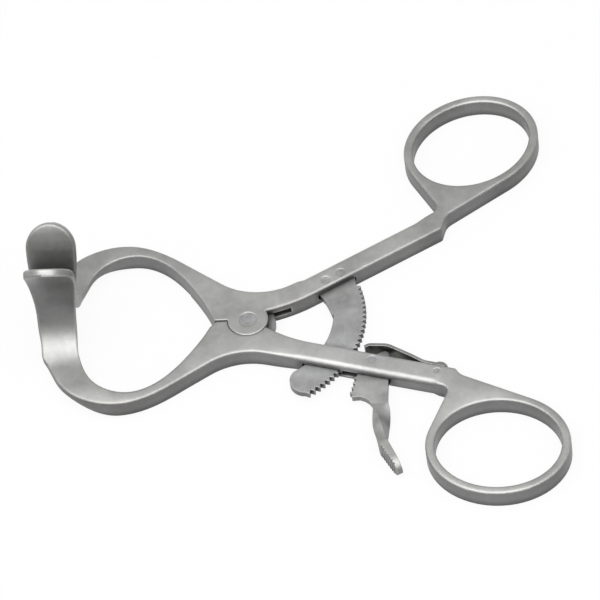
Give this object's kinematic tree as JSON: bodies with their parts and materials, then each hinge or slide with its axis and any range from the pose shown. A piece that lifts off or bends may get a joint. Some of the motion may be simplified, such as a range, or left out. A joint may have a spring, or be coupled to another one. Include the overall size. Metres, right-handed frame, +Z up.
{
  "type": "mouth gag",
  "caption": "Self-retaining surgical mouth gag: two pivoted ring-handled arms with upright blades, a toothed arc and a sprung release lever.",
  "frame": {"origin": "on the lock axis at the underside of the arms", "axes": "+X runs to the finger rings along the plane where the blades meet, +Y is the side of the arm that carries the toothed bar, +Z is up, the way the blades stand"},
  "size_m": [0.1286, 0.1243, 0.0347],
  "materials": {
    "satin_steel": "satin",
    "pin_steel": "satin",
    "spring_steel": "semi-gloss",
    "screw_steel": "satin"
  },
  "bodies": {
    "tongue_side": {"tongue_arm": "satin_steel", "lever_pin": "pin_steel", "leaf_spring": "spring_steel", "spring_screw": "screw_steel", "screw_lock_pin": "pin_steel"},
    "fork_side": {"fork_arm": "satin_steel", "lock_pin": "pin_steel", "ratchet_bar": "satin_steel", "bar_rivet_1": "pin_steel", "bar_rivet_2": "pin_steel"},
    "lever": {"release_lever": "satin_steel"}
  },
  "joints": [
    {"name": "arm_pivot", "type": "hinge", "parent": "tongue_side", "child": "fork_side", "pos_m": [0, 0, 0.0025], "axis": [0, 0, 1], "range_deg": [-39, 0]},
    {"name": "lever_pivot", "type": "hinge", "parent": "tongue_side", "child": "lever", "pos_m": [0.0304, -0.0136, 0.0025], "axis": [0, 0, 1], "range_deg": [-33, 0]}
  ]
}
